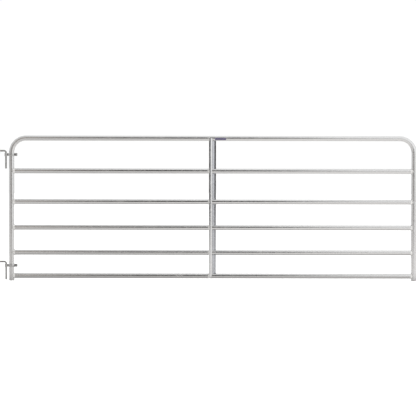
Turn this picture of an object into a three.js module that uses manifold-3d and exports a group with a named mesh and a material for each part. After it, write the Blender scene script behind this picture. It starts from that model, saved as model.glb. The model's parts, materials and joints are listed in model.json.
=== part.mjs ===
// Livestock panel gate: a leaf of round galvanised tube with a Z-section brace at its middle, hung by
// two clamp-on strap hinges from L-shaped post bolts. Millimetres. +X runs along the gate away from
// the post, the front faces -Y, +Z is up, and z = 0 is the level of the two open tube feet. x = 0 is
// the middle of the whole object and y = 0 is the middle plane of the leaf.
import * as THREE from "three";
import { mergeVertices } from "three/addons/utils/BufferGeometryUtils.js";
import Module from "manifold-3d";

const wasm = await Module();
wasm.setup();

// Leaf: one tube is bent into the two uprights and the top, the other rails are straight.
const LEAF_WIDTH = 3573;
const LEAF_HEIGHT = 1270;
const TUBE_RADIUS = 44.45 / 2;
const TUBE_WALL = 1.25;
const BEND_RADIUS = 127;
const RAIL_HEIGHTS = {
  middle_rail_1: 961,
  middle_rail_2: 692,
  middle_rail_3: 466,
  middle_rail_4: 247,
  bottom_rail: 42,
};

// Middle brace: a roll-formed Z section with the rails running through its web.
const BRACE_DEPTH = 57;
const BRACE_SHEET = 2;
const BRACE_FLANGE = 31;
const BRACE_BEND_INSIDE = 17;
const BRACE_OFFSET = -3;
const BRACE_BOTTOM = 30;
const BRACE_TOP = 1250;

// Label: a thin band on the front of the top tube, just past the brace.
const LABEL_LENGTH = 98;
const LABEL_OFFSET = 18;
const LABEL_THICKNESS = 0.5;
const LABEL_ABOVE_FRONT_DEG = 14;
const LABEL_BELOW_FRONT_DEG = 42;

// Hinges: each strap folds round the pin, then round the upright, and its two ears bolt together.
const HINGE_HEIGHTS = { upper: 1104, lower: 132 };
const PIN_OFFSET = 49;
const STRAP_HEIGHT = 25.4;
const STRAP_THICKNESS = 4.8;
const EAR_REACH = 50;
const EAR_GAP = 3;
const NECK_GAP = 0.8;

// Post bolts: a short arm towards the post, and a leg that hangs down through the strap's eye.
const PIN_RADIUS = 15.875 / 2;
const PIN_BEND_RADIUS = 16;
const PIN_LEG = 156;
const ARM_REACH = 57;
const ARM_ABOVE_STRAP = 33;

// Strap fasteners: a 3/8 in carriage bolt with its square neck in the front ear.
const BOLT_REACH = 38.5;
const BOLT_RADIUS = 9.525 / 2;
const BOLT_NECK_LENGTH = 4;
const BOLT_HEAD_RADIUS = 10.5;
const BOLT_HEAD_HEIGHT = 5.2;
const WASHER_RADIUS = 10.5;
const WASHER_THICKNESS = 1.7;
const LOCK_WASHER_RADIUS = 8.6;
const LOCK_WASHER_THICKNESS = 2.4;
const LOCK_WASHER_SPLIT = 1.6;
const NUT_FLAT_RADIUS = 14.3 / 2;
const NUT_HEIGHT = 8.2;
const BOLT_END_PAST_NUT = 3.5;

// Clearances
const GAP = 0.3;
const BRACE_HOLE_GAP = 0.4;
const PIN_GAP = 0.35;

// How far a cutting shape reaches past the face it cuts
const OVERSHOOT = 1;

// How finely round shapes are divided
const TUBE_SIDES = 24;
const ROD_SIDES = 16;
const FASTENER_SIDES = 20;
const BEND_STEPS = 9;
const ARC_STEPS = 5;

// Places that follow from the sizes above
const UPRIGHT_SPACING = LEAF_WIDTH - 2 * TUBE_RADIUS;
const LEFT_UPRIGHT_X = (PIN_OFFSET + ARM_REACH - TUBE_RADIUS - UPRIGHT_SPACING) / 2;
const RIGHT_UPRIGHT_X = LEFT_UPRIGHT_X + UPRIGHT_SPACING;
const LEAF_CENTRE_X = (LEFT_UPRIGHT_X + RIGHT_UPRIGHT_X) / 2;
const TOP_TUBE_Z = LEAF_HEIGHT - TUBE_RADIUS;
const BRACE_X = LEAF_CENTRE_X + BRACE_OFFSET;
const PIN_X = LEFT_UPRIGHT_X - PIN_OFFSET;
const BOLT_X = LEFT_UPRIGHT_X + BOLT_REACH;
const EARS_HALF = EAR_GAP / 2 + STRAP_THICKNESS;

const galvanisedTube = () =>
  new THREE.MeshStandardMaterial({ color: 0xb9babb, roughness: 0.36, metalness: 0.9 });
const galvanisedSheet = () =>
  new THREE.MeshStandardMaterial({ color: 0xb2b3b4, roughness: 0.45, metalness: 0.85 });
const zincHardware = () =>
  new THREE.MeshStandardMaterial({ color: 0x8d8e90, roughness: 0.5, metalness: 0.85 });
const labelFilm = () =>
  new THREE.MeshStandardMaterial({ color: 0x5a5470, roughness: 0.4, metalness: 0 });

// A path through fixed stations, so that a swept shape has its rings exactly where the path turns.
class StationPath extends THREE.Curve {
  constructor(stations) {
    super();
    this.stations = stations;
  }

  stationNear(u) {
    return this.stations[Math.round(u * (this.stations.length - 1))];
  }

  getPoint(t) {
    return this.stationNear(t).point.clone();
  }

  getPointAt(u) {
    return this.stationNear(u).point.clone();
  }

  getTangentAt(u) {
    return this.stationNear(u).tangent.clone();
  }
}

// The stations of a line in the XZ plane that turns round each inner corner with the given radius.
function bentStations(corners, bendRadius) {
  const along = (from, to) => new THREE.Vector3().subVectors(to, from).normalize();
  const last = corners.length - 1;
  const stations = [{ point: corners[0], tangent: along(corners[0], corners[1]) }];
  for (let i = 1; i < last; i++) {
    const before = along(corners[i - 1], corners[i]);
    const after = along(corners[i], corners[i + 1]);
    const centre = corners[i].clone();
    centre.addScaledVector(before, -bendRadius);
    centre.addScaledVector(after, bendRadius);
    for (let step = 0; step <= BEND_STEPS; step++) {
      const angle = (step / BEND_STEPS) * (Math.PI / 2);
      const point = centre.clone();
      point.addScaledVector(after, -bendRadius * Math.cos(angle));
      point.addScaledVector(before, bendRadius * Math.sin(angle));
      const tangent = new THREE.Vector3();
      tangent.addScaledVector(before, Math.cos(angle));
      tangent.addScaledVector(after, Math.sin(angle));
      stations.push({ point, tangent });
    }
  }
  stations.push({ point: corners[last], tangent: along(corners[last - 1], corners[last]) });
  return stations;
}

// A closed three.js geometry as a solid that can be joined and cut.
function solidOf(geometry) {
  const bare = new THREE.BufferGeometry();
  bare.setAttribute("position", geometry.getAttribute("position"));
  bare.setIndex(geometry.index);
  const merged = mergeVertices(bare, 1e-3);
  const mesh = new wasm.Mesh({
    numProp: 3,
    vertProperties: merged.getAttribute("position").array,
    triVerts: new Uint32Array(merged.index.array),
  });
  return new wasm.Manifold(mesh);
}

function geometryOf(solid) {
  const mesh = solid.getMesh();
  const geometry = new THREE.BufferGeometry();
  geometry.setAttribute("position", new THREE.BufferAttribute(mesh.vertProperties, 3));
  geometry.setIndex(new THREE.BufferAttribute(mesh.triVerts, 1));
  return geometry;
}

const AXIS_TURNS = {
  x: (geometry) => geometry.rotateZ(Math.PI / 2),
  y: (geometry) => geometry,
  z: (geometry) => geometry.rotateX(Math.PI / 2),
};

// A cylinder of the given length, centred on a point, along the x, y or z axis.
function cylinder(axis, radius, length, centre, sides) {
  const geometry = AXIS_TURNS[axis](new THREE.CylinderGeometry(radius, radius, length, sides));
  return solidOf(geometry.translate(...centre));
}

// A box between two x, two y and two z values.
function box([x0, x1], [y0, y1], [z0, z1]) {
  const geometry = new THREE.BoxGeometry(x1 - x0, y1 - y0, z1 - z0);
  return solidOf(geometry.translate((x0 + x1) / 2, (y0 + y1) / 2, (z0 + z1) / 2));
}

function sweep(shape, stations, curveSegments) {
  return new THREE.ExtrudeGeometry(shape, {
    steps: stations.length - 1,
    curveSegments,
    extrudePath: new StationPath(stations),
  });
}

function circleShape(radius) {
  return new THREE.Shape().absarc(0, 0, radius, 0, Math.PI * 2);
}

// Both uprights and the top in one length of tube, open at the two feet.
function frameTube() {
  const ring = circleShape(TUBE_RADIUS);
  ring.holes.push(circleShape(TUBE_RADIUS - TUBE_WALL));
  const corners = [
    new THREE.Vector3(LEFT_UPRIGHT_X, 0, 0),
    new THREE.Vector3(LEFT_UPRIGHT_X, 0, TOP_TUBE_Z),
    new THREE.Vector3(RIGHT_UPRIGHT_X, 0, TOP_TUBE_Z),
    new THREE.Vector3(RIGHT_UPRIGHT_X, 0, 0),
  ];
  return sweep(ring, bentStations(corners, BEND_RADIUS), TUBE_SIDES / 2);
}

// A straight tube between the uprights, with both ends cut to fit round them.
function rail(height) {
  const centre = [LEAF_CENTRE_X, 0, height];
  const outside = cylinder("x", TUBE_RADIUS, UPRIGHT_SPACING, centre, TUBE_SIDES);
  const bore = cylinder("x", TUBE_RADIUS - TUBE_WALL, LEAF_WIDTH, centre, TUBE_SIDES);
  let solid = outside.subtract(bore);
  for (const x of [LEFT_UPRIGHT_X, RIGHT_UPRIGHT_X]) {
    const upright = cylinder("z", TUBE_RADIUS + GAP, 4 * TUBE_RADIUS, [x, 0, height], TUBE_SIDES);
    solid = solid.subtract(upright);
  }
  return geometryOf(solid);
}

// The Z's outline from above: front flange to the post side, web across the leaf, rear flange to the
// far side. The second half of the outline is the first half turned round by half a turn.
function braceOutline() {
  const half = BRACE_DEPTH / 2;
  const bendY = half - BRACE_SHEET - BRACE_BEND_INSIDE;
  const bendX = BRACE_SHEET / 2 + BRACE_BEND_INSIDE;
  const outline = new THREE.Shape();
  outline.moveTo(-BRACE_FLANGE, -half);
  outline.lineTo(-bendX, -half);
  outline.absarc(-bendX, -bendY, BRACE_BEND_INSIDE + BRACE_SHEET, -Math.PI / 2, 0, false);
  outline.absarc(bendX, bendY, BRACE_BEND_INSIDE, Math.PI, Math.PI / 2, true);
  outline.lineTo(BRACE_FLANGE, half - BRACE_SHEET);
  outline.lineTo(BRACE_FLANGE, half);
  outline.absarc(bendX, bendY, BRACE_BEND_INSIDE + BRACE_SHEET, Math.PI / 2, Math.PI, false);
  outline.absarc(-bendX, -bendY, BRACE_BEND_INSIDE, 0, -Math.PI / 2, true);
  outline.lineTo(-BRACE_FLANGE, BRACE_SHEET - half);
  return outline;
}

// The web has a hole for each middle rail, and an open notch at the top tube and the bottom rail.
function centreBrace() {
  const section = new THREE.ExtrudeGeometry(braceOutline(), {
    depth: BRACE_TOP - BRACE_BOTTOM,
    bevelEnabled: false,
    curveSegments: ARC_STEPS,
  });
  let solid = solidOf(section.translate(BRACE_X, 0, BRACE_BOTTOM));
  for (const height of [TOP_TUBE_Z, ...Object.values(RAIL_HEIGHTS)]) {
    const centre = [BRACE_X, 0, height];
    const hole = cylinder("x", TUBE_RADIUS + BRACE_HOLE_GAP, 4 * BRACE_FLANGE, centre, TUBE_SIDES);
    solid = solid.subtract(hole);
  }
  return geometryOf(solid);
}

// A curved band over the front of the top tube.
function panelLabel() {
  const inner = TUBE_RADIUS + GAP;
  const from = Math.PI - THREE.MathUtils.degToRad(LABEL_ABOVE_FRONT_DEG);
  const to = Math.PI + THREE.MathUtils.degToRad(LABEL_BELOW_FRONT_DEG);
  const band = new THREE.Shape();
  band.absarc(0, 0, inner + LABEL_THICKNESS, from, to, false);
  band.absarc(0, 0, inner, to, from, true);
  const geometry = new THREE.ExtrudeGeometry(band, {
    depth: LABEL_LENGTH,
    bevelEnabled: false,
    curveSegments: ARC_STEPS,
  });
  geometry.rotateX(Math.PI / 2);
  geometry.rotateZ(Math.PI / 2);
  return geometry.translate(LEAF_CENTRE_X + LABEL_OFFSET, 0, TOP_TUBE_Z);
}

// One folded strip: the eye round the pin, a pinched neck, the wrap round the upright, two ears.
function hingeStrap(height) {
  const centred = (x) => [x, 0, height];
  const tall = STRAP_HEIGHT + 2 * OVERSHOOT;
  const zSpan = [height - STRAP_HEIGHT / 2, height + STRAP_HEIGHT / 2];
  const zCut = [height - tall / 2, height + tall / 2];
  const eyeBore = PIN_RADIUS + PIN_GAP;
  const wrapBore = TUBE_RADIUS + GAP;
  const neckHalf = NECK_GAP / 2 + STRAP_THICKNESS;
  const neckX = [PIN_X, LEFT_UPRIGHT_X];
  const earX = [LEFT_UPRIGHT_X, LEFT_UPRIGHT_X + EAR_REACH];
  const outside = cylinder("z", eyeBore + STRAP_THICKNESS, STRAP_HEIGHT, centred(PIN_X), TUBE_SIDES)
    .add(cylinder("z", wrapBore + STRAP_THICKNESS, STRAP_HEIGHT, centred(LEFT_UPRIGHT_X), TUBE_SIDES))
    .add(box(neckX, [-neckHalf, neckHalf], zSpan))
    .add(box(earX, [-EARS_HALF, EARS_HALF], zSpan));
  const inside = cylinder("z", eyeBore, tall, centred(PIN_X), ROD_SIDES)
    .add(cylinder("z", wrapBore, tall, centred(LEFT_UPRIGHT_X), TUBE_SIDES))
    .add(box(neckX, [-NECK_GAP / 2, NECK_GAP / 2], zCut))
    .add(box([earX[0], earX[1] + OVERSHOOT], [-EAR_GAP / 2, EAR_GAP / 2], zCut));
  const neckHole = BOLT_RADIUS + GAP;
  const squareHole = box(
    [BOLT_X - neckHole, BOLT_X + neckHole],
    [-EARS_HALF - OVERSHOOT, 0],
    [height - neckHole, height + neckHole],
  );
  const holeDepth = EARS_HALF + OVERSHOOT;
  const roundHole = cylinder("y", neckHole, holeDepth, [BOLT_X, holeDepth / 2, height], ROD_SIDES);
  return geometryOf(outside.subtract(inside).subtract(squareHole).subtract(roundHole));
}

// Where the pieces on the strap bolt start and end along y, from the front of its head to its tip.
const STACK = (() => {
  const headBack = -EARS_HALF - GAP;
  const washer = EARS_HALF + GAP;
  const lockWasher = washer + WASHER_THICKNESS + GAP;
  const nut = lockWasher + LOCK_WASHER_THICKNESS + GAP;
  return { headBack, washer, lockWasher, nut, tip: nut + NUT_HEIGHT + BOLT_END_PAST_NUT };
})();

// Domed head in front, square neck in the front ear, round shank to the nut at the back.
function strapBolt(height) {
  const headFront = STACK.headBack - BOLT_HEAD_HEIGHT;
  const profile = [];
  for (let step = 0; step <= ARC_STEPS; step++) {
    const angle = (step / ARC_STEPS) * (Math.PI / 2);
    const y = STACK.headBack - BOLT_HEAD_HEIGHT * Math.cos(angle);
    profile.push(new THREE.Vector2(BOLT_HEAD_RADIUS * Math.sin(angle), y));
  }
  profile[0].set(0, headFront);
  profile.push(new THREE.Vector2(BOLT_RADIUS, STACK.headBack));
  profile.push(new THREE.Vector2(BOLT_RADIUS, STACK.tip));
  profile.push(new THREE.Vector2(0, STACK.tip));
  const turned = solidOf(new THREE.LatheGeometry(profile, ROD_SIDES).translate(BOLT_X, 0, height));
  const neck = box(
    [BOLT_X - BOLT_RADIUS, BOLT_X + BOLT_RADIUS],
    [STACK.headBack - GAP, STACK.headBack + BOLT_NECK_LENGTH],
    [height - BOLT_RADIUS, height + BOLT_RADIUS],
  );
  return geometryOf(turned.add(neck));
}

// A flat or six-sided ring on the strap bolt, from y upwards.
function ringOnBolt(height, radius, thickness, y, sides) {
  const centre = [BOLT_X, y + thickness / 2, height];
  const bore = cylinder("y", BOLT_RADIUS + GAP, thickness + 2 * OVERSHOOT, centre, ROD_SIDES);
  return cylinder("y", radius, thickness, centre, sides).subtract(bore);
}

function strapWasher(height) {
  return geometryOf(ringOnBolt(height, WASHER_RADIUS, WASHER_THICKNESS, STACK.washer, FASTENER_SIDES));
}

// A ring split at its top, as a spring lock washer is.
function strapLockWasher(height) {
  const ring = ringOnBolt(
    height,
    LOCK_WASHER_RADIUS,
    LOCK_WASHER_THICKNESS,
    STACK.lockWasher,
    FASTENER_SIDES,
  );
  const split = box(
    [BOLT_X - LOCK_WASHER_SPLIT / 2, BOLT_X + LOCK_WASHER_SPLIT / 2],
    [STACK.lockWasher - OVERSHOOT, STACK.lockWasher + LOCK_WASHER_THICKNESS + OVERSHOOT],
    [height, height + LOCK_WASHER_RADIUS + OVERSHOOT],
  );
  return geometryOf(ring.subtract(split));
}

function strapNut(height) {
  const cornerRadius = NUT_FLAT_RADIUS / Math.cos(Math.PI / 6);
  return geometryOf(ringOnBolt(height, cornerRadius, NUT_HEIGHT, STACK.nut, 6));
}

// An L of round bar: the arm's end face points at the post, the leg's tip points down.
function postBolt(height) {
  const armZ = height + ARM_ABOVE_STRAP;
  const corners = [
    new THREE.Vector3(PIN_X - ARM_REACH, 0, armZ),
    new THREE.Vector3(PIN_X, 0, armZ),
    new THREE.Vector3(PIN_X, 0, armZ - PIN_LEG),
  ];
  return sweep(circleShape(PIN_RADIUS), bentStations(corners, PIN_BEND_RADIUS), ROD_SIDES / 2);
}

function named(name, geometry, material) {
  const mesh = new THREE.Mesh(geometry, material);
  mesh.name = name;
  return mesh;
}

function leaf() {
  const group = new THREE.Group();
  group.add(named("frame_tube", frameTube(), galvanisedTube()));
  for (const [name, height] of Object.entries(RAIL_HEIGHTS)) {
    group.add(named(name, rail(height), galvanisedTube()));
  }
  group.add(named("centre_brace", centreBrace(), galvanisedSheet()));
  group.add(named("panel_label", panelLabel(), labelFilm()));
  return group;
}

function hinge(side, height) {
  const group = new THREE.Group();
  const pieces = {
    post_bolt: postBolt,
    hinge_strap: hingeStrap,
    strap_bolt: strapBolt,
    strap_washer: strapWasher,
    strap_lock_washer: strapLockWasher,
    strap_nut: strapNut,
  };
  for (const [piece, make] of Object.entries(pieces)) {
    group.add(named(`${side}_${piece}`, make(height), zincHardware()));
  }
  return group;
}

const gate = new THREE.Group();
gate.add(leaf());
for (const [side, height] of Object.entries(HINGE_HEIGHTS)) {
  gate.add(hinge(side, height));
}

export default gate;
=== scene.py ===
"""Looks of the livestock panel gate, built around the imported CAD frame. Metres, same frame as the CAD."""

import json
import math

import bmesh
import bpy
from mathutils import Matrix, Vector


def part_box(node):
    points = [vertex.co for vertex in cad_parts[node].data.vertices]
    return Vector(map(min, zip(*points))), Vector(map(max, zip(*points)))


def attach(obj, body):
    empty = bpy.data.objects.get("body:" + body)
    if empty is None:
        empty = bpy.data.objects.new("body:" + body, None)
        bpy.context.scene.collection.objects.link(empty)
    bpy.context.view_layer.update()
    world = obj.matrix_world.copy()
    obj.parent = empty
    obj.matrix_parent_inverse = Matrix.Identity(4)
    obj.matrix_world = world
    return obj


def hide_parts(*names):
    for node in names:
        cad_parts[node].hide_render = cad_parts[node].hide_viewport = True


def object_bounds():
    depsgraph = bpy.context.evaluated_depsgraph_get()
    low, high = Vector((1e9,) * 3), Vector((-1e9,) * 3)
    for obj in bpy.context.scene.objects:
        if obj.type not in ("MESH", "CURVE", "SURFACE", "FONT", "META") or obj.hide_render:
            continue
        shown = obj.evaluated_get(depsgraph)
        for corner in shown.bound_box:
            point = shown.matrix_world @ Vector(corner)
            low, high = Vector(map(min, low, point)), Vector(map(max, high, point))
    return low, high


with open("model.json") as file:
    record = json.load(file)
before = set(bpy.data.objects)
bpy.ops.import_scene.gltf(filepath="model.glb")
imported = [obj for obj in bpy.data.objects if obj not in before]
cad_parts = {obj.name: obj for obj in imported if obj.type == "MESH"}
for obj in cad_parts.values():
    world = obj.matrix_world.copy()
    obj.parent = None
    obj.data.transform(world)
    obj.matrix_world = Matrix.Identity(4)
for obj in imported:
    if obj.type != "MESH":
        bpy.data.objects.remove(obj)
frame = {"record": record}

CAD_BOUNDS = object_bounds()
MM = 0.001
TURN = 2 * math.pi
SMOOTH_ANGLE = 32

# Sizes that a node's box doesn't give
TUBE_WALL = 1.25 * MM
TUBE_BEND_RADIUS = 127 * MM
TUBE_SIDES = 72
BEND_STEPS = 28
BEND_FLATTENING = 0.03
BEND_RIPPLE = 0.035
BEND_RIPPLES = 5
SHEET = 2 * MM
BRACE_BEND_INSIDE = 17 * MM
BRACE_HOLE_GAP = 0.4 * MM
STRAP_THICKNESS = 4.8 * MM
STRAP_EAR_GAP = 3 * MM
STRAP_NECK_GAP = 0.8 * MM
STRAP_CLEARANCE = 0.3 * MM
PIN_CLEARANCE = 0.35 * MM
PIN_BEND_RADIUS = 16 * MM
PIN_FLATTENING = 0.05
BOLT_RADIUS = 9.525 / 2 * MM
THREAD_PITCH = 1.5875 * MM
THREAD_DEPTH = 0.95 * MM
WASHER_BORE = BOLT_RADIUS + 0.3 * MM
WELD_RADIUS = 3 * MM
WELD_RIPPLE = 2.4 * MM
WELD_RIPPLE_DEPTH = 0.16

# How far the touched-up paint reaches from a weld
RAIL_PAINT = 10 * MM
UPRIGHT_PAINT = 16 * MM
FLANGE_PAINT_UP = 24 * MM
FLANGE_PAINT_ACROSS = 6 * MM

# Places that follow from the CAD nodes
FRAME_LO, FRAME_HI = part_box("frame_tube")
TUBE_RADIUS = (FRAME_HI.y - FRAME_LO.y) / 2
LEFT_X = FRAME_LO.x + TUBE_RADIUS
RIGHT_X = FRAME_HI.x - TUBE_RADIUS
TOP_Z = FRAME_HI.z - TUBE_RADIUS
RAILS = ["middle_rail_1", "middle_rail_2", "middle_rail_3", "middle_rail_4", "bottom_rail"]
BRACE_LO, BRACE_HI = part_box("centre_brace")
BRACE_X = (BRACE_LO.x + BRACE_HI.x) / 2
LEAF = "gate_leaf"
SIDES = ("upper", "lower")


def centre_z(node):
    lo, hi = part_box(node)
    return (lo.z + hi.z) / 2


def pin_size(side):
    """The radius of a post bolt's bar, and the X of its upright leg."""
    lo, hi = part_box(f"{side}_post_bolt")
    radius = (hi.y - lo.y) / 2
    return radius, hi.x - radius


RAIL_Z = {node: centre_z(node) for node in RAILS}
CROSSINGS = {"top_tube": TOP_Z, **RAIL_Z}
PIN_RADIUS = pin_size("upper")[0]
PIN_X = {side: pin_size(side)[1] for side in SIDES}
BODY_OF = {
    node: body
    for body, nodes in frame["record"]["behaviour"]["bodies"].items()
    for node in nodes
}


# ---------------------------------------------------------------- mesh helpers

def shade_smooth(mesh, smooth_angle=SMOOTH_ANGLE):
    """Smooth shading, except at edges sharper than smooth_angle degrees."""
    for polygon in mesh.polygons:
        polygon.use_smooth = True
    mesh.set_sharp_from_angle(angle=math.radians(smooth_angle))


def mesh_object(name, points, faces, material, smooth_angle=SMOOTH_ANGLE):
    """A new object whose faces point out."""
    mesh = bpy.data.meshes.new(name)
    mesh.from_pydata([tuple(p) for p in points], [], faces)
    work = bmesh.new()
    work.from_mesh(mesh)
    bmesh.ops.recalc_face_normals(work, faces=work.faces)
    work.to_mesh(mesh)
    work.free()
    shade_smooth(mesh, smooth_angle)
    mesh.materials.append(material)
    piece = bpy.data.objects.new(name, mesh)
    bpy.context.scene.collection.objects.link(piece)
    return piece


def loft_faces(ring_count, sides, loop):
    """Quads between neighbouring rings. A loop joins the last ring to the first, else both are capped."""
    faces = []
    for i in range(ring_count if loop else ring_count - 1):
        here, there = i * sides, (i + 1) % ring_count * sides
        for j in range(sides):
            k = (j + 1) % sides
            faces.append((here + j, here + k, there + k, there + j))
    if not loop:
        faces.append(tuple(range(sides)))
        faces.append(tuple(range((ring_count - 1) * sides, ring_count * sides)))
    return faces


def loft(name, rings, material, loop=False, smooth_angle=SMOOTH_ANGLE):
    """A new object whose skin runs from ring to ring."""
    points = [point for ring in rings for point in ring]
    faces = loft_faces(len(rings), len(rings[0]), loop)
    return mesh_object(name, points, faces, material, smooth_angle)


def set_flow(piece, values):
    """Stores each point's distance along its tube and its place across it, for the drawn finish."""
    attribute = piece.data.attributes.new("flow", "FLOAT_VECTOR", "POINT")
    attribute.data.foreach_set("vector", [number for value in values for number in value])


def stand_for(piece, node):
    """piece is what is seen in place of a CAD node, and it moves as that node does."""
    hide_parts(node)
    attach(piece, BODY_OF[node])


# ---------------------------------------------------------------- node helpers

class NodeTree:
    """Short calls for a node tree. Each value passed in is a socket or a plain number."""

    def __init__(self, tree):
        self.tree = tree

    def node(self, kind, **settings):
        made = self.tree.nodes.new(kind)
        for key, value in settings.items():
            setattr(made, key, value)
        return made

    def feed(self, socket, value):
        """Links a socket to socket, or sets it to a plain value."""
        if isinstance(value, bpy.types.NodeSocket):
            self.tree.links.new(value, socket)
        else:
            socket.default_value = value

    def math(self, operation, a, b=0.0):
        made = self.node("ShaderNodeMath", operation=operation)
        self.feed(made.inputs[0], a)
        self.feed(made.inputs[1], b)
        return made.outputs[0]

    def total(self, first, *others):
        """The sum of all the values."""
        result = first
        for other in others:
            result = self.math("ADD", result, other)
        return result

    def weighted(self, *terms):
        """The sum of (value, weight) terms."""
        return self.total(*[self.math("MULTIPLY", value, weight) for value, weight in terms])

    def ramp(self, value, from_low, from_high, to_low, to_high):
        """to_low where value is at or below from_low, to_high at or above from_high, smooth between."""
        made = self.node("ShaderNodeMapRange", interpolation_type="SMOOTHSTEP")
        for socket, given in zip(made.inputs, (value, from_low, from_high, to_low, to_high)):
            self.feed(socket, given)
        return made.outputs["Result"]

    def split(self, vector):
        """The x, y and z sockets of a vector."""
        made = self.node("ShaderNodeSeparateXYZ")
        self.feed(made.inputs[0], vector)
        return made.outputs


class FinishShader(NodeTree):
    """The node tree of one finish of the gate."""

    def __init__(self, name):
        self.material = bpy.data.materials.new(name)
        self.material.use_nodes = True
        super().__init__(self.material.node_tree)

    def attribute(self, name):
        return self.node("ShaderNodeAttribute", attribute_name=name).outputs["Vector"]

    def position(self):
        return self.node("ShaderNodeTexCoord").outputs["Object"]

    def normal(self):
        return self.node("ShaderNodeTexCoord").outputs["Normal"]

    def stretch(self, vector, scale):
        made = self.node("ShaderNodeMapping")
        self.feed(made.inputs["Vector"], vector)
        made.inputs["Scale"].default_value = scale
        return made.outputs["Vector"]

    def noise(self, vector, scale, detail=3.0, roughness=0.55):
        made = self.node("ShaderNodeTexNoise")
        self.feed(made.inputs["Vector"], vector)
        made.inputs["Scale"].default_value = scale
        made.inputs["Detail"].default_value = detail
        made.inputs["Roughness"].default_value = roughness
        return made.outputs["Fac"]

    def cells(self, vector, scale):
        """One random value per crystal of a Voronoi pattern."""
        made = self.node("ShaderNodeTexVoronoi")
        self.feed(made.inputs["Vector"], vector)
        made.inputs["Scale"].default_value = scale
        channels = self.node("ShaderNodeSeparateColor")
        self.feed(channels.inputs[0], made.outputs["Color"])
        return channels.outputs[0]

    def mix(self, share, first, second):
        """A colour between two colours, each a socket or an RGB triple."""
        made = self.node("ShaderNodeMix", data_type="RGBA")
        self.feed(made.inputs["Factor"], share)
        for socket, colour in ((made.inputs["A"], first), (made.inputs["B"], second)):
            self.feed(socket, (*colour, 1.0) if isinstance(colour, tuple) else colour)
        return made.outputs["Result"]

    def bump(self, height, distance, strength=1.0):
        made = self.node("ShaderNodeBump")
        made.inputs["Strength"].default_value = strength
        made.inputs["Distance"].default_value = distance
        self.feed(made.inputs["Height"], height)
        return made.outputs["Normal"]

    def near(self, coordinate, places, reach, wobble):
        """1 close to any of the places along one axis, falling to 0 at reach, with an uneven edge."""
        closest = None
        for place in places:
            gap = self.math("ABSOLUTE", self.math("SUBTRACT", coordinate, place))
            closest = gap if closest is None else self.math("MINIMUM", closest, gap)
        return self.ramp(self.math("ADD", closest, wobble), reach * 0.45, reach, 1.0, 0.0)

    def finish(self, colour, metallic, roughness, normal):
        """Feeds the four values to the surface, and returns the material."""
        surface = self.tree.nodes["Principled BSDF"]
        self.feed(surface.inputs["Base Color"], colour)
        self.feed(surface.inputs["Metallic"], metallic)
        self.feed(surface.inputs["Roughness"], roughness)
        self.feed(surface.inputs["Normal"], normal)
        return self.material


# ---------------------------------------------------------------- finishes

def touched_up(shader, bands):
    """The share of zinc paint that touches up the welds: 1 on a weld, 0 away from it, patchy between.

    Each band is (axis, places, reach): the coordinate, the welds' places along it, and how far the
    paint reaches. Where there are several bands, paint is only where they cross.
    """
    place = shader.split(shader.position())
    speckle = shader.noise(shader.position(), 160, detail=2)
    patchiness = 14 * MM
    wobble = shader.math("MULTIPLY", shader.math("SUBTRACT", speckle, 0.5), patchiness)
    share = 1.0
    for axis, places, reach in bands:
        band = shader.near(place[axis], places, reach, wobble)
        share = shader.math("MULTIPLY", band, share)
    return share


def galvanised_tube(name, bands):
    """Bright drawn tube: streaks along its length, faint crystals, and matt bright paint on the welds."""
    shader = FinishShader(name)
    flow = shader.attribute("flow")
    streaks = shader.noise(shader.stretch(flow, (1.2, 90, 90)), 1.0, detail=4, roughness=0.6)
    scratches = shader.noise(shader.stretch(flow, (6, 900, 900)), 1.0, detail=2)
    clouds = shader.noise(flow, 9, detail=3)
    crystals = shader.cells(shader.stretch(flow, (70, 150, 150)), 1.0)
    paint = touched_up(shader, bands)

    tone = shader.weighted((streaks, 0.5), (crystals, 0.2), (clouds, 0.3))
    zinc = shader.mix(tone, (0.66, 0.665, 0.67), (0.84, 0.835, 0.83))
    colour = shader.mix(paint, zinc, (0.82, 0.815, 0.80))
    rough = shader.total(
        shader.ramp(shader.total(streaks, crystals), 0.5, 1.5, 0.15, 0.21),
        shader.ramp(clouds, 0.45, 0.75, 0.0, 0.08),
        shader.math("MULTIPLY", paint, 0.3),
    )
    metallic = shader.ramp(paint, 0.0, 1.0, 1.0, 0.55)
    relief = shader.weighted((scratches, 0.5), (streaks, 1.0))
    return shader.finish(colour, metallic, rough, shader.bump(relief, 0.02 * MM, 0.35))


def inside_of_fold(shader):
    """1 on the flange faces that look towards the brace's own middle plane: the inner faces of the folds,
    where painted shade goes.
    """
    normal_y = shader.split(shader.normal())[1]
    place_y = shader.split(shader.position())[1]
    outward = shader.math("MULTIPLY", normal_y, shader.math("SIGN", place_y))
    return shader.ramp(outward, -0.5, 0.0, 1.0, 0.0)


def galvanised_sheet(name, bands):
    """Roll-formed zinc-coated strip: larger crystals than the tube's, lines along its rolling, and painted
    shade on the inner faces of its folds.
    """
    shader = FinishShader(name)
    place = shader.position()
    rolled = shader.noise(shader.stretch(place, (260, 260, 3)), 1.0, detail=3)
    crystals = shader.cells(shader.stretch(place, (1, 1, 0.7)), 120)
    clouds = shader.noise(place, 14, detail=4)
    paint = touched_up(shader, bands)

    tone = shader.weighted((crystals, 0.35), (clouds, 0.65))
    zinc = shader.mix(tone, (0.64, 0.65, 0.66), (0.88, 0.88, 0.88))
    # Painted shade: a darker zinc colour on the inner faces of the folds, where the channel would be in
    # shade.
    painted_fold_shade = shader.mix(tone, (0.46, 0.47, 0.50), (0.64, 0.65, 0.68))
    zinc = shader.mix(inside_of_fold(shader), zinc, painted_fold_shade)
    colour = shader.mix(paint, zinc, (0.72, 0.71, 0.69))
    rough = shader.total(
        shader.ramp(shader.total(crystals, clouds), 0.5, 1.5, 0.12, 0.2),
        shader.math("MULTIPLY", paint, 0.3),
    )
    metallic = shader.ramp(paint, 0.0, 1.0, 1.0, 0.5)
    relief = shader.weighted((rolled, 1.0), (crystals, 0.4))
    return shader.finish(colour, metallic, rough, shader.bump(relief, 0.015 * MM, 0.3))


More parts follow.
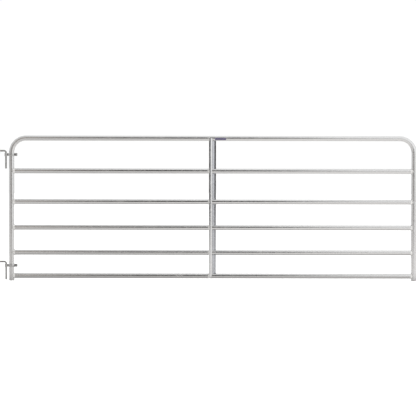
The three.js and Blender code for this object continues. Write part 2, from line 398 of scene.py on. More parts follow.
def zinc_hardware(name, dark, light):
    """Dull zinc plate on forged steel: blotches, fine pits and a little brown in the low spots."""
    shader = FinishShader(name)
    place = shader.position()
    blotches = shader.noise(place, 60, detail=5, roughness=0.65)
    pits = shader.noise(place, 900, detail=3)
    stain = shader.ramp(shader.noise(place, 140, detail=4), 0.6, 0.78, 0.0, 0.55)
    zinc = shader.mix(blotches, dark, light)
    colour = shader.mix(stain, zinc, (0.23, 0.20, 0.16))
    rough = shader.total(
        shader.ramp(blotches, 0.3, 0.7, 0.24, 0.40),
        shader.math("MULTIPLY", stain, 0.3),
    )
    metallic = shader.ramp(stain, 0.0, 1.0, 1.0, 0.6)
    relief = shader.weighted((blotches, 1.0), (pits, 0.5))
    return shader.finish(colour, metallic, rough, shader.bump(relief, 0.12 * MM, 0.6))


def weld_metal():
    """Weld beads under bright zinc paint."""
    shader = FinishShader("weld_metal")
    place = shader.position()
    grain = shader.noise(place, 500, detail=4)
    soot = shader.ramp(shader.noise(place, 90, detail=3), 0.55, 0.8, 0.0, 0.7)
    colour = shader.mix(soot, (0.66, 0.655, 0.64), (0.30, 0.29, 0.28))
    rough = shader.ramp(grain, 0.3, 0.7, 0.38, 0.6)
    return shader.finish(colour, 0.7, rough, shader.bump(grain, 0.25 * MM, 0.7))


def label_film(lo, hi):
    """Plain indigo film with a paler line at each end, slightly orange-peeled under its gloss."""
    shader = FinishShader("label_film")
    place = shader.position()
    end_line = 2.2 * MM
    edge = shader.near(shader.split(place)[0], (lo.x, hi.x), end_line, 0.0)
    mottle = shader.noise(place, 260, detail=3)
    scuffs = shader.noise(shader.stretch(place, (40, 700, 700)), 1.0, detail=3)
    film = shader.mix(mottle, (0.10, 0.088, 0.15), (0.135, 0.12, 0.19))
    film = shader.mix(shader.ramp(scuffs, 0.6, 0.8, 0.0, 0.35), film, (0.30, 0.28, 0.36))
    colour = shader.mix(edge, film, (0.36, 0.34, 0.42))
    rough = shader.ramp(scuffs, 0.35, 0.75, 0.22, 0.5)
    return shader.finish(colour, 0.0, rough, shader.bump(mottle, 0.06 * MM, 0.5))


X_AXIS, Z_AXIS = 0, 2
RAIL_END_X = [LEFT_X + TUBE_RADIUS, RIGHT_X - TUBE_RADIUS]
FRAME_FINISH = galvanised_tube(
    "galvanised_tube_frame",
    [(Z_AXIS, [*RAIL_Z.values()], RAIL_PAINT), (X_AXIS, RAIL_END_X, UPRIGHT_PAINT)],
)
RAIL_FINISH = galvanised_tube("galvanised_tube_rail", [(X_AXIS, [*RAIL_END_X, BRACE_LO.x], RAIL_PAINT)])
SHEET_FINISH = galvanised_sheet(
    "galvanised_sheet",
    [
        (Z_AXIS, [*CROSSINGS.values()], FLANGE_PAINT_UP),
        (X_AXIS, [BRACE_LO.x, BRACE_HI.x], FLANGE_PAINT_ACROSS),
    ],
)
PIN_FINISH = zinc_hardware("zinc_pin", (0.36, 0.362, 0.355), (0.54, 0.542, 0.53))
STRAP_FINISH = zinc_hardware("zinc_strap", (0.48, 0.48, 0.48), (0.70, 0.70, 0.69))
FASTENER_FINISH = zinc_hardware("zinc_fastener", (0.28, 0.28, 0.285), (0.46, 0.455, 0.45))
WELD_FINISH = weld_metal()


# ---------------------------------------------------------------- tubes

def bent_stations(corners, bend_radius, steps):
    """(point, tangent, share of the way round a bend) along a line in the XZ plane with round corners."""
    stations = [(corners[0], (corners[1] - corners[0]).normalized(), 0.0)]
    for before_point, corner, after_point in zip(corners, corners[1:], corners[2:]):
        before = (corner - before_point).normalized()
        after = (after_point - corner).normalized()
        centre = corner - before * bend_radius + after * bend_radius
        for step in range(steps + 1):
            angle = step / steps * math.pi / 2
            cosine, sine = math.cos(angle), math.sin(angle)
            point = centre - after * bend_radius * cosine + before * bend_radius * sine
            tangent = before * cosine + after * sine
            stations.append((point, tangent, step / steps))
    stations.append((corners[-1], (corners[-1] - corners[-2]).normalized(), 0.0))
    return stations


def round_ring(point, tangent, radius, sides, squeeze=0.0):
    """A circle across the tangent of a line in the XZ plane, narrowed in that plane by squeeze."""
    across = Vector((0, 1, 0))
    inward = tangent.cross(across)
    ring = []
    for j in range(sides):
        angle = j / sides * TURN
        ring.append(point + across * radius * math.cos(angle)
                    + inward * radius * (1 - squeeze) * math.sin(angle))
    return ring


def ring_flow(along, radius, sides):
    """The flow values of a ring's points, at one distance along the tube."""
    return [
        (along, radius * math.cos(j / sides * TURN), radius * math.sin(j / sides * TURN))
        for j in range(sides)
    ]


def build_frame_tube():
    """The bent tube, with its bore, its slightly flattened bends and the cut ends of its feet."""
    corners = [
        Vector((LEFT_X, 0, 0)),
        Vector((LEFT_X, 0, TOP_Z)),
        Vector((RIGHT_X, 0, TOP_Z)),
        Vector((RIGHT_X, 0, 0)),
    ]
    burr = 0.35 * MM
    stations = bent_stations(corners, TUBE_BEND_RADIUS, BEND_STEPS)
    first, last = stations[0], stations[-1]
    stations.insert(1, (first[0] + first[1] * burr, first[1], 0.0))
    stations.insert(-1, (last[0] - last[1] * burr, last[1], 0.0))
    outside, inside, flow = [], [], []
    travelled = 0.0
    for i, (point, tangent, share) in enumerate(stations):
        travelled += (point - stations[max(i - 1, 0)][0]).length
        ripple = BEND_RIPPLE * math.sin(BEND_RIPPLES * TURN * share)
        squeeze = (BEND_FLATTENING + ripple) * math.sin(math.pi * share)
        trim = burr if i in (0, len(stations) - 1) else 0.0
        outside.append(round_ring(point, tangent, TUBE_RADIUS - trim, TUBE_SIDES, squeeze))
        inside.append(round_ring(point, tangent, TUBE_RADIUS - TUBE_WALL, TUBE_SIDES, squeeze))
        flow.append(ring_flow(travelled, TUBE_RADIUS, TUBE_SIDES))
    piece = loft("frame_tube_fine", outside + inside[::-1], FRAME_FINISH, loop=True)
    set_flow(piece, [value for ring in flow + flow[::-1] for value in ring])
    stand_for(piece, "frame_tube")


def saddle_ring(upright_x, side, radius, height):
    """The end of a rail cut to fit round an upright. side is +1 where the rail runs towards +X."""
    gap = 0.2 * MM
    ring = []
    for j in range(TUBE_SIDES):
        angle = j / TUBE_SIDES * TURN
        y = radius * math.cos(angle)
        reach = math.sqrt((TUBE_RADIUS + gap) ** 2 - y * y)
        ring.append(Vector((upright_x + side * reach, y, height + radius * math.sin(angle))))
    return ring


def build_rail(node):
    """A straight tube from upright to upright. Each height gets its own stretch of the drawn finish."""
    height = RAIL_Z[node]
    bore = TUBE_RADIUS - TUBE_WALL
    rings = [
        saddle_ring(LEFT_X, 1, TUBE_RADIUS, height),
        saddle_ring(RIGHT_X, -1, TUBE_RADIUS, height),
        saddle_ring(RIGHT_X, -1, bore, height),
        saddle_ring(LEFT_X, 1, bore, height),
    ]
    piece = loft(node + "_fine", rings, RAIL_FINISH, loop=True)
    flow_start = height * 10
    set_flow(piece, [(flow_start + p.x, p.y, p.z - height) for ring in rings for p in ring])
    stand_for(piece, node)


# ---------------------------------------------------------------- welds

def bead_swell(travelled):
    """A bead's thickness at a distance along it, as a share of its usual one: rippled and unsteady."""
    within_ripple = travelled / WELD_RIPPLE % 1.0
    crest = math.sqrt(max(0.0, 1 - (2 * within_ripple - 1) ** 2))
    unsteady = 0.07 * math.sin(travelled * 310) + 0.05 * math.sin(travelled * 145 + 1)
    return (1 - WELD_RIPPLE_DEPTH * (1 - crest)) * (1 + unsteady)


def bead_rings(path, outward, radius, closed):
    """Rings of a weld bead along a path. outward[i] points away from the joint at path[i]."""
    count = len(path)
    sides = 10
    taper_share, blunt_end = 0.14, 0.08
    rings = []
    travelled = 0.0
    for i, point in enumerate(path):
        before = path[i - 1] if closed or i else path[0]
        after = path[(i + 1) % count] if closed or i < count - 1 else path[-1]
        tangent = (after - before).normalized()
        up = (outward[i] - tangent * outward[i].dot(tangent)).normalized()
        across = tangent.cross(up)
        if i:
            travelled += (point - path[i - 1]).length
        swell = bead_swell(travelled)
        if not closed:
            from_end = min(i, count - 1 - i) / (count * taper_share)
            swell *= math.sqrt(min(1.0, blunt_end + from_end))
        ring = []
        for j in range(sides):
            angle = j / sides * TURN
            ring.append(point + (up * math.sin(angle) + across * math.cos(angle)) * radius * swell)
        rings.append(ring)
    return rings


def weld(name, path, outward, radius, closed):
    """A weld bead, which moves with the leaf and stands for no CAD node."""
    rings = bead_rings(path, outward, radius, closed)
    piece = loft(name, rings, WELD_FINISH, loop=closed, smooth_angle=60)
    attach(piece, LEAF)


def weld_rail_end(node, side_name, upright_x, side):
    """The bead that runs all round a rail where it meets an upright."""
    height, steps = RAIL_Z[node], 320
    off_rail, off_upright = 0.6 * MM, 1.8 * MM
    radius = TUBE_RADIUS + off_rail
    path, outward = [], []
    for i in range(steps):
        angle = i / steps * TURN
        y = radius * math.cos(angle)
        reach = math.sqrt((TUBE_RADIUS + off_upright) ** 2 - y * y)
        path.append(Vector((upright_x + side * reach, y, height + radius * math.sin(angle))))
        outward.append(Vector((side * 0.8, math.cos(angle), math.sin(angle))))
    weld(f"weld_{node}_{side_name}", path, outward, WELD_RADIUS, closed=True)


def weld_flange_edge(name, height, side):
    """The short bead that ties a brace flange's free edge to a tube. side is -1 in front, 1 behind."""
    steps, reach = 70, 15 * MM
    set_back = 3.9 * MM
    flange_y = BRACE_LO.y if side < 0 else BRACE_HI.y
    edge_x = BRACE_LO.x if side < 0 else BRACE_HI.x
    path, outward = [], []
    for i in range(steps):
        z = height + (i / (steps - 1) * 2 - 1) * reach
        wander = 0.5 * MM * math.sin(i * 0.35 + height * 9)
        path.append(Vector((edge_x + wander, flange_y - side * set_back, z)))
        outward.append(Vector((side, side * 0.4, 0)))
    weld(name, path, outward, 3.4 * MM, closed=False)


def weld_web(name, height):
    """The bead on the right of the brace's web, over a rail or under the top tube."""
    steps, sweep = 150, math.radians(110)
    radius = TUBE_RADIUS + 0.7 * MM
    x = BRACE_X + SHEET / 2 + 1.0 * MM
    path, outward = [], []
    middle = -math.pi / 2 if height == TOP_Z else math.pi / 2
    for i in range(steps):
        angle = middle + (i / (steps - 1) - 0.5) * sweep
        path.append(Vector((x, radius * math.cos(angle), height + radius * math.sin(angle))))
        outward.append(Vector((1, math.cos(angle), math.sin(angle))))
    weld(name, path, outward, 2.6 * MM, closed=False)


def build_welds():
    for node in RAILS:
        weld_rail_end(node, "left", LEFT_X, 1)
        weld_rail_end(node, "right", RIGHT_X, -1)
    for place, height in CROSSINGS.items():
        weld_flange_edge(f"weld_brace_front_{place}", height, -1)
        weld_flange_edge(f"weld_brace_rear_{place}", height, 1)
        weld_web(f"weld_web_{place}", height)


# ---------------------------------------------------------------- brace and label

def arc(centre_x, centre_y, radius, start, end, steps):
    """Points of an arc, from the angle start to the angle end, in degrees."""
    points = []
    for i in range(steps + 1):
        angle = math.radians(start + (end - start) * i / steps)
        points.append((centre_x + radius * math.cos(angle), centre_y + radius * math.sin(angle)))
    return points


def brace_outline():
    """Half of the Z, from one flange's free edge to the other's, then the same turned half a turn."""
    half_depth = (BRACE_HI.y - BRACE_LO.y) / 2
    flange = (BRACE_HI.x - BRACE_LO.x) / 2
    inside, outside = BRACE_BEND_INSIDE, BRACE_BEND_INSIDE + SHEET
    bend_x, bend_y = SHEET / 2 + inside, half_depth - SHEET - inside
    edge = 0.5 * MM
    half = [(-flange, -half_depth + edge), (-flange + edge, -half_depth)]
    half += arc(-bend_x, -bend_y, outside, -90, 0, 14)
    half += arc(bend_x, bend_y, inside, 180, 90, 14)
    half += [(flange - edge, half_depth - SHEET), (flange, half_depth - SHEET + edge)]
    return half + [(-x, -y) for x, y in half]


def cut_out(piece, cutters):
    """Cuts each cutter out of piece, and removes the cutters."""
    for cutter in cutters:
        modifier = piece.modifiers.new("cut", "BOOLEAN")
        modifier.object = cutter
        modifier.operation = "DIFFERENCE"
        modifier.solver = "EXACT"
    evaluated = piece.evaluated_get(bpy.context.evaluated_depsgraph_get())
    mesh = bpy.data.meshes.new_from_object(evaluated)
    piece.modifiers.clear()
    piece.data = mesh
    shade_smooth(mesh)
    for cutter in cutters:
        bpy.data.objects.remove(cutter)


def build_brace():
    """The folded strip, with a rail-sized hole or notch at each crossing."""
    outline = brace_outline()
    rings = [[Vector((BRACE_X + x, y, z)) for x, y in outline] for z in (BRACE_LO.z, BRACE_HI.z)]
    piece = loft("centre_brace_fine", rings, SHEET_FINISH)
    reach = Vector((BRACE_HI.x - BRACE_LO.x, 0, 0))
    cutters = []
    for height in CROSSINGS.values():
        middle = Vector((BRACE_X, 0, height))
        ends = [
            round_ring(middle + step, Vector((1, 0, 0)), TUBE_RADIUS + BRACE_HOLE_GAP, sides=96)
            for step in (-reach, reach)
        ]
        cutters.append(loft("cutter", ends, SHEET_FINISH))
    cut_out(piece, cutters)
    stand_for(piece, "centre_brace")


def film_faces(columns, rows):
    """Faces of a film: two grids of points, one after the other in the list, closed round their rim."""
    wide, per_layer = columns + 1, (columns + 1) * (rows + 1)
    faces = []
    for row in range(rows):
        for column in range(columns):
            a = row * wide + column
            quad = (a, a + 1, a + 1 + wide, a + wide)
            faces.append(quad)
            faces.append(tuple(index + per_layer for index in quad))
    rim = list(range(wide))
    rim += [row * wide + columns for row in range(1, rows + 1)]
    rim += [rows * wide + column for column in range(columns - 1, -1, -1)]
    rim += [row * wide for row in range(rows - 1, 0, -1)]
    for a, b in zip(rim, rim[1:] + rim[:1]):
        faces.append((a, b, b + per_layer, a + per_layer))
    return faces


def build_label():
    """A thin band with rounded corners round the front of the top tube, one corner a little lifted."""
    lo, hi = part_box("panel_label")
    inside = TUBE_RADIUS + 0.12 * MM
    thickness = 0.3 * MM
    corner = 4 * MM
    lift, lift_length, lift_height = 0.35 * MM, 0.07, 0.3
    cad_radius = TUBE_RADIUS + 0.8 * MM
    above = math.asin((hi.z - TOP_Z) / cad_radius)
    below = math.asin((lo.z - TOP_Z) / cad_radius)
    height = inside * (above - below)
    columns, rows = 60, 18

    def layer(layer_radius):
        points = []
        for row in range(rows + 1):
            up = row / rows
            from_edge = min(up, 1 - up) * height
            bite = max(0.0, corner - from_edge)
            inset = corner - math.sqrt(corner * corner - bite * bite)
            angle = below + (above - below) * up
            for column in range(columns + 1):
                along = column / columns
                x = lo.x + inset + (hi.x - lo.x - 2 * inset) * along
                near_end = max(0.0, along - 1 + lift_length) / lift_length
                near_bottom = max(0.0, lift_height - up) / lift_height
                radius = layer_radius + lift * near_end * near_bottom
                points.append(Vector((x, -radius * math.cos(angle), TOP_Z + radius * math.sin(angle))))
        return points

    points = layer(inside) + layer(inside + thickness)
    piece = mesh_object("panel_label_fine", points, film_faces(columns, rows), label_film(lo, hi))
    stand_for(piece, "panel_label")


# ---------------------------------------------------------------- hinge straps

def fillet(line_y, circle_x, circle_radius, fillet_radius, side):
    """The arc that joins the line y = line_y (below the axis) to a circle centred on the axis.

    side is -1 where the line leaves the circle towards -X. Returns the arc's centre and the angle,
    in degrees, at which the circle is met as seen from the circle's centre.
    """
    drop = -line_y + fillet_radius
    reach = circle_radius + fillet_radius
    centre_x = circle_x + side * math.sqrt(reach * reach - drop * drop)
    angle = math.degrees(math.atan2(-drop, centre_x - circle_x))
    return (centre_x, -drop), angle


def strap_centreline(pin_x, upright_x, ear_end_x):
    """The middle line of the strip's front half, from the ear's end to the far side of the eye."""
    half = STRAP_THICKNESS / 2
    wrap = TUBE_RADIUS + STRAP_CLEARANCE + half
    eye = PIN_RADIUS + PIN_CLEARANCE + half
    ear_y = -(STRAP_EAR_GAP / 2 + half)
    neck_y = -(STRAP_NECK_GAP / 2 + half)
    ear_bend, neck_bend = 5 * MM, 4 * MM
    ear_steps = 8
    ear_centre, ear_angle = fillet(ear_y, upright_x, wrap, ear_bend, 1)
    neck_centre, neck_angle = fillet(neck_y, upright_x, wrap, neck_bend, -1)
    eye_centre, eye_angle = fillet(neck_y, pin_x, eye, neck_bend, 1)
    points = [(ear_end_x + (ear_centre[0] - ear_end_x) * i / ear_steps, ear_y) for i in range(ear_steps)]
    points += arc(*ear_centre, ear_bend, 90, 180 + ear_angle, 10)
    points += arc(upright_x, 0, wrap, ear_angle, neck_angle, 44)[1:]
    points += arc(*neck_centre, neck_bend, neck_angle, 90, 8)[1:]
    points += arc(*eye_centre, neck_bend, 90, 180 + eye_angle, 8)
    points += arc(pin_x, 0, eye, eye_angle, -180, 30)[1:]
    return points


def strip_ring(point, normal, height, half_height):
    """A rounded rectangle across the strip: thickness along normal, width along Z."""
    rounding, corner_steps = 0.9 * MM, 3
    ring = []
    for corner, (across, up) in enumerate(((1, 1), (-1, 1), (-1, -1), (1, -1))):
        centre_across = across * (STRAP_THICKNESS / 2 - rounding)
        centre_up = up * (half_height - rounding)
        for step in range(corner_steps + 1):
            angle = math.pi / 2 * (corner + step / corner_steps)
            shift = centre_across + rounding * math.cos(angle)
            x, y = point[0] + normal[0] * shift, point[1] + normal[1] * shift
            ring.append(Vector((x, y, height + centre_up + rounding * math.sin(angle))))
    return ring


def build_strap(side):
    """One folded strip of steel: ear, wrap, narrow neck, eye, and back to the other ear."""
    waist_place, waist_length, waist_depth = PIN_X[side] + 17 * MM, 12 * MM, 0.11
    node = f"{side}_hinge_strap"
    lo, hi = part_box(node)
    height, half_height = (lo.z + hi.z) / 2, (hi.z - lo.z) / 2
    front = strap_centreline(PIN_X[side], LEFT_X, hi.x)
    line = front + [(x, -y) for x, y in front[-2::-1]]
    rings = []
    for i, point in enumerate(line):
        before, after = line[max(i - 1, 0)], line[min(i + 1, len(line) - 1)]
        tangent = Vector((after[0] - before[0], after[1] - before[1])).normalized()
        normal = (-tangent.y, tangent.x)
        waist = math.exp(-(((point[0] - waist_place) / waist_length) ** 2))
        rings.append(strip_ring(point, normal, height, half_height * (1 - waist_depth * waist)))
    piece = loft(node + "_fine", rings, STRAP_FINISH)
    stand_for(piece, node)


# ---------------------------------------------------------------- post bolts and fasteners

def build_post_bolt(side):
    """A bent round bar, chamfered at both cut ends and a little flattened at its bend."""
    node = f"{side}_post_bolt"
    lo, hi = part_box(node)
    arm_z = hi.z - PIN_RADIUS
    corners = [Vector((lo.x, 0, arm_z)), Vector((PIN_X[side], 0, arm_z)), Vector((PIN_X[side], 0, lo.z))]
    stations = bent_stations(corners, PIN_BEND_RADIUS, steps=20)
    chamfer, sides = 1.6 * MM, 40
    first, last = stations[0], stations[-1]
    rings = [round_ring(first[0], first[1], PIN_RADIUS - chamfer, sides)]
    rings.append(round_ring(first[0] + first[1] * chamfer, first[1], PIN_RADIUS, sides))
    for point, tangent, share in stations[1:-1]:
        squeeze = PIN_FLATTENING * math.sin(math.pi * share)
        rings.append(round_ring(point, tangent, PIN_RADIUS, sides, squeeze))
    rings.append(round_ring(last[0] - last[1] * chamfer, last[1], PIN_RADIUS, sides))
    rings.append(round_ring(last[0], last[1], PIN_RADIUS - chamfer, sides))
    piece = loft(node + "_fine", rings, PIN_FINISH, smooth_angle=28)
    stand_for(piece, node)


def about_bolt(centre, radius, angle, y):
    """A point at a radius and an angle about a strap bolt's axis, which runs along Y."""
    return Vector((centre.x + radius * math.cos(angle), y, centre.z + radius * math.sin(angle)))


def turned_ring(centre, radius, y, sides):
    return [about_bolt(centre, radius, j / sides * TURN, y) for j in range(sides)]


def turned(name, profile, centre, material, loop=False):
    """A shape turned about a strap bolt's axis. profile holds (radius, y) pairs."""
    rings = [turned_ring(centre, radius, y, sides=56) for radius, y in profile]
    return loft(name, rings, material, loop=loop)


def join(pieces, name):
    """Makes one object of several meshes with one material."""
    work = bmesh.new()
    for piece in pieces:
        work.from_mesh(piece.data)
    mesh = bpy.data.meshes.new(name)
    work.to_mesh(mesh)
    work.free()
    mesh.materials.append(pieces[0].data.materials[0])
    shade_smooth(mesh)
    for piece in pieces:
        bpy.data.objects.remove(piece)
    joined = bpy.data.objects.new(name, mesh)
    bpy.context.scene.collection.objects.link(joined)
    return joined


def threaded_shank(centre, start, end):
    """A rod with a helical thread, which fades into a blunt point at the end."""
    sides, rings_per_turn = 40, 8
    point_length, point_taper, thread_at_tip = 2 * MM, 0.9 * MM, 0.35
    steps = int((end - start) / THREAD_PITCH * rings_per_turn)
    rings = []
    for i in range(steps + 1):
        y = start + (end - start) * i / steps
        full = min(1.0, (end - y) / point_length + thread_at_tip)
        ring = []
        for j in range(sides):
            phase = (y / THREAD_PITCH - j / sides) % 1.0
            crest = 1 - abs(2 * phase - 1)
            radius = BOLT_RADIUS - THREAD_DEPTH * (1 - crest) * full - point_taper * (1 - full)
            ring.append(about_bolt(centre, radius, j / sides * TURN, y))
        rings.append(ring)
    return loft("thread", rings, FASTENER_FINISH, smooth_angle=40)


def build_strap_bolt(side):
    """Carriage bolt: a shallow dome with a small rim, and a threaded shank."""
    node = f"{side}_strap_bolt"
    lo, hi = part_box(node)
    centre = (lo + hi) / 2
    head_radius = (hi.x - lo.x) / 2
    head_back = -(STRAP_EAR_GAP / 2 + STRAP_THICKNESS)
    thread_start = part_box(f"{side}_strap_nut")[0].y - 4 * MM
    rim, edge = 1.1 * MM, 0.3 * MM
    dome_height, dome_steps = head_back - lo.y - rim, 15
    profile = [(0.2 * MM, lo.y)]
    for i in range(1, dome_steps):
        angle = i / dome_steps * math.pi / 2
        profile.append((head_radius * math.sin(angle), lo.y + dome_height * (1 - math.cos(angle))))
    profile += [(head_radius, head_back - rim), (head_radius, head_back - edge)]
    profile += [(head_radius - edge, head_back), (BOLT_RADIUS, head_back), (BOLT_RADIUS, thread_start)]
    head = turned("head", profile, centre, FASTENER_FINISH)
    shank = threaded_shank(centre, thread_start, hi.y)
    piece = join([head, shank], node + "_fine")
    stand_for(piece, node)


def chamfered_section(low_across, high_across, low_along, high_along, edge):
    """A rectangle with cut corners, as (across, along) pairs."""
    return [
        (low_across, low_along + edge), (low_across + edge, low_along),
        (high_across - edge, low_along), (high_across, low_along + edge),
        (high_across, high_along - edge), (high_across - edge, high_along),
        (low_across + edge, high_along), (low_across, high_along - edge),
    ]


def build_washer(side):
    """A flat ring with chamfered edges."""
    node = f"{side}_strap_washer"
    lo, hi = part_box(node)
    profile = chamfered_section(WASHER_BORE, (hi.x - lo.x) / 2, lo.y, hi.y, 0.3 * MM)
    piece = turned(node + "_fine", profile, (lo + hi) / 2, STRAP_FINISH, loop=True)
    stand_for(piece, node)


def build_lock_washer(side):
    """A square-section ring, split at the top, with its two ends sprung apart."""
    node = f"{side}_strap_lock_washer"
    lo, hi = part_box(node)
    centre = (lo + hi) / 2
    spring, edge = 0.35 * MM, 0.35 * MM
    half_thick = (hi.y - lo.y) / 2 - spring
    section = chamfered_section(WASHER_BORE, (hi.x - lo.x) / 2, -half_thick, half_thick, edge)
    steps, split = 72, math.radians(6)
    rings = []
    for i in range(steps + 1):
        share = i / steps
        angle = math.pi / 2 + split + (TURN - 2 * split) * share
        y = centre.y + spring * (2 * share - 1)
        rings.append([about_bolt(centre, radius, angle, y + along) for radius, along in section])
    piece = loft(node + "_fine", rings, FASTENER_FINISH)
    stand_for(piece, node)


def build_nut(side):
    """A hexagon nut, its corners turned down at both faces and its bore countersunk."""
    node = f"{side}_strap_nut"
    lo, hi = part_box(node)
    centre = (lo + hi) / 2
    flat = (hi.x - lo.x) / 2
    bore, sink = BOLT_RADIUS - 0.3 * MM, 0.9 * MM
    face, slope = flat * 0.94, 0.58
    sides = 96

    def round_at(radius, y):
        return turned_ring(centre, radius, y, sides)

    def hexagon_at(face_y, inward):
        """The hexagon, sunk below a face as far as its corners stand out. inward is +1 or -1 along Y."""
        ring = []
        for j in range(sides):
            angle = j / sides * TURN
            from_flat = (angle + math.pi / 6) % (math.pi / 3) - math.pi / 6
            radius = flat / math.cos(from_flat)
            ring.append(about_bolt(centre, radius, angle, face_y + inward * (radius - face) * slope))
        return ring

    rings = [
        round_at(bore, lo.y + sink),
        round_at(bore + sink, lo.y),
        round_at(face, lo.y),
        hexagon_at(lo.y, 1),
        hexagon_at(hi.y, -1),
        round_at(face, hi.y),
        round_at(bore + sink, hi.y),
        round_at(bore, hi.y - sink),
    ]
    piece = loft(node + "_fine", rings, FASTENER_FINISH, loop=True, smooth_angle=20)
    stand_for(piece, node)


def build_hinge(side):
    build_strap(side)
    build_post_bolt(side)
    build_strap_bolt(side)
    build_washer(side)
    build_lock_washer(side)
    build_nut(side)


# ---------------------------------------------------------------- stage, light and camera

CAMERA_DISTANCE = 14.0
CAMERA_HEIGHT = 1.03
AIM_HEIGHT = 0.638
CAMERA_ROLL_DEG = 0.1
FRAME_WIDTH_AT_GATE = 3.648

FLOOR_IN_METAL = (1.0, 0.98, 0.965)
STUDIO_END_COLOUR = (1.0, 0.93, 0.87)
STUDIO_END_DISTANCE = 14.0
CEILING_HEIGHT = 5.0
SOFTBOX_HEIGHT = 5.0


class StageShader(NodeTree):
    """A node tree for the stage or the world, whose glow varies from place to place."""

    def place(self):
        """The x and y sockets of the place that is seen."""
        return self.split(self.node("ShaderNodeNewGeometry").outputs["Position"])[:2]

    def glow(self, strength, colour=(1, 1, 1)):
        made = self.node("ShaderNodeEmission")
        self.feed(made.inputs["Color"], (*colour, 1))
        self.feed(made.inputs["Strength"], strength)
        return made.outputs[0]

    def clear(self):
        return self.node("ShaderNodeBsdfTransparent").outputs[0]

    def either(self, share, first, second):
        """The first surface where share is 0, the second where it is 1."""
        made = self.node("ShaderNodeMixShader")
        for socket, given in zip(made.inputs, (share, first, second)):
            self.feed(socket, given)
        return made.outputs[0]

    def ray_is(self, kind):
        """1 for rays of a kind, such as Camera or Glossy, else 0."""
        return self.node("ShaderNodeLightPath").outputs[f"Is {kind} Ray"]


def stage_material(name, surface):
    """A stage material. surface(shader) returns the socket of its surface."""
    material = bpy.data.materials.new(name)
    material.use_nodes = True
    material.node_tree.nodes.clear()
    shader = StageShader(material.node_tree)
    output = shader.node("ShaderNodeOutputMaterial")
    shader.feed(output.inputs["Surface"], surface(shader))
    return material


def stage_plane(name, lo, hi, surface):
    """A flat stage object, level or upright, between two opposite corners."""
    corners = [lo, (hi[0], lo[1], lo[2]), hi, (lo[0], hi[1], hi[2])]
    piece = mesh_object(name, corners, [(0, 1, 2, 3)], stage_material(f"{name}_paint", surface))
    return piece


def hide_from_all_but_metal(piece):
    piece.visible_camera = False
    piece.visible_diffuse = False
    piece.visible_shadow = False


def floor_surface(shader):
    """White paint to the eye. In the metal it is darkest far in front and along the foot of the gate,
    brightest just behind the gate, and dim further back. The right is a little brighter.
    """
    x, y = shader.place()
    paint = shader.node("ShaderNodeBsdfDiffuse")
    shader.feed(paint.inputs["Color"], (0.85, 0.85, 0.85, 1))
    seen = shader.node("ShaderNodeAddShader")
    shader.feed(seen.inputs[0], paint.outputs[0])
    shader.feed(seen.inputs[1], shader.glow(0.42))

    in_front = shader.ramp(y, -14.0, -6.0, 0.2, 0.72)
    right = shader.ramp(x, -1.2, 1.6, 0.0, 0.2)
    just_behind = shader.ramp(y, -0.5, 1.0, 0.0, 0.3)
    further_back = shader.ramp(y, 1.0, 2.6, 0.0, -0.65)
    # Painted contact shadow: the floor, as the metal sees it, darkens to a strip along the foot of the
    # gate.
    foot = shader.ramp(shader.math("ABSOLUTE", y), 0.015, 0.5, 0.55, 1.0)
    strength = shader.math("MULTIPLY", shader.total(in_front, right, just_behind, further_back), foot)
    return shader.either(shader.ray_is("Glossy"), seen.outputs[0], shader.glow(strength, FLOOR_IN_METAL))


def studio_end_surface(shader):
    """The unlit end of the studio: darkest in the middle, paler to the left with one pale strip there,
    and fading out to the right.
    """
    x = shader.place()[0]
    left = shader.ramp(x, -4.2, -0.9, 0.27, 0.03)
    far_left = shader.ramp(x, -8.0, -4.0, 0.2, 0.0)
    strip_left_edge = shader.ramp(x, -5.0, -3.6, 0.0, 0.4)
    strip_right_edge = shader.ramp(x, -3.4, -2.5, 1.0, 0.0)
    pale_strip = shader.math("MULTIPLY", strip_left_edge, strip_right_edge)
    wall = shader.glow(shader.total(left, pale_strip, far_left), STUDIO_END_COLOUR)
    return shader.either(shader.ramp(x, 1.1, 2.7, 0.0, 1.0), wall, shader.clear())


def ceiling_surface(shader):
    """A white ceiling, dimmer to the left and fading out at its front edge."""
    x, y = shader.place()
    white = shader.glow(shader.ramp(x, -2.4, 1.4, 0.72, 1.0))
    return shader.either(shader.ramp(y, -4.0, -3.0, 1.0, 0.0), white, shader.clear())


def build_stage():
    """The floor, and the wall and the ceiling that only the metal shows."""
    reach, level = 40, CAD_BOUNDS[0].z - 0.5 * MM
    stage_plane("floor", (-reach, -reach, level), (reach, reach, level), floor_surface)
    left, right, foot, top, y = -12, 2.8, 0.15, 20, -STUDIO_END_DISTANCE
    wall = stage_plane("studio_end", (left, y, foot), (right, y, top), studio_end_surface)
    hide_from_all_but_metal(wall)
    side, front, back, z = 10, -4, 7, CEILING_HEIGHT
    ceiling = stage_plane("ceiling", (-side, front, z), (side, back, z), ceiling_surface)
    hide_from_all_but_metal(ceiling)


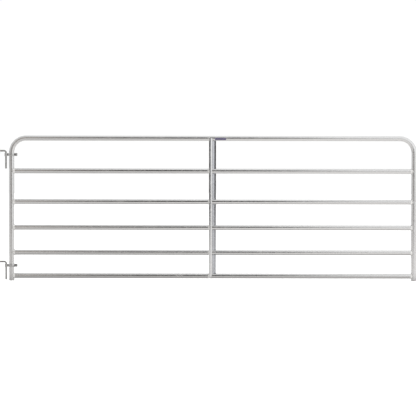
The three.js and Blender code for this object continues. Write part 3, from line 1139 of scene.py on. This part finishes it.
def build_world():
    """White to the camera. In the metal it is brighter overhead and to the right, and dimmer behind the
    gate and near the horizon at the front left and the back right.
    """
    world = bpy.data.worlds.new("studio")
    bpy.context.scene.world = world
    world.use_nodes = True
    shader = StageShader(world.node_tree)
    x, y, z = shader.split(shader.node("ShaderNodeTexCoord").outputs["Generated"])
    front_to_back = shader.ramp(y, -1.0, 0.5, 0.82, 0.92)
    overhead = shader.ramp(z, 0.35, 0.95, 0.0, 0.14)
    right = shader.ramp(x, -0.6, 0.9, -0.08, 0.27)
    behind = shader.ramp(y, 0.3, 0.95, 0.0, -0.3)
    corners = shader.ramp(shader.math("MULTIPLY", x, y), 0.12, 0.38, 0.0, -0.5)
    near_horizon = shader.ramp(shader.math("ABSOLUTE", z), 0.15, 0.5, 1.0, 0.0)
    corners = shader.math("MULTIPLY", corners, near_horizon)
    corners = shader.math("MULTIPLY", corners, shader.ramp(x, -0.9, -0.5, 0.3, 1.0))
    in_metal = shader.total(front_to_back, overhead, right, behind, corners)
    to_camera = 1.02
    strength = shader.node("ShaderNodeMix")
    for socket, given in zip((0, 2, 3), (shader.ray_is("Camera"), in_metal, to_camera)):
        shader.feed(strength.inputs[socket], given)
    background = world.node_tree.nodes["Background"]
    shader.feed(background.inputs["Color"], (1, 1, 1, 1))
    shader.feed(background.inputs["Strength"], strength.outputs[0])


def build_softbox():
    """One large lamp overhead, for the label and the contact shadows. The metal doesn't show it."""
    lamp = bpy.data.lights.new("softbox", "AREA")
    lamp.shape = "RECTANGLE"
    lamp.size, lamp.size_y = 6.0, 3.0
    lamp.energy = 90
    holder = bpy.data.objects.new("softbox", lamp)
    holder.location = (0, -1.0, SOFTBOX_HEIGHT)
    holder.visible_glossy = False
    bpy.context.scene.collection.objects.link(holder)


def build_camera():
    """A long lens square on to the gate, a little above its middle."""
    data = bpy.data.cameras.new("camera")
    data.sensor_width = 36
    data.lens = data.sensor_width * CAMERA_DISTANCE / FRAME_WIDTH_AT_GATE
    camera = bpy.data.objects.new("camera", data)
    aim = Vector((0, 0, AIM_HEIGHT))
    camera.location = (0, -CAMERA_DISTANCE, CAMERA_HEIGHT)
    look = (aim - camera.location).to_track_quat("-Z", "Y").to_matrix()
    roll = Matrix.Rotation(math.radians(CAMERA_ROLL_DEG), 3, "Z")
    camera.rotation_euler = (look @ roll).to_euler()
    bpy.context.scene.collection.objects.link(camera)
    bpy.context.scene.camera = camera


build_frame_tube()
for rail in RAILS:
    build_rail(rail)
build_welds()
build_brace()
build_label()
for hinge in SIDES:
    build_hinge(hinge)
build_stage()
build_world()
build_softbox()
build_camera()
bpy.context.scene.view_settings.view_transform = "Standard"

bpy.context.view_layer.update()
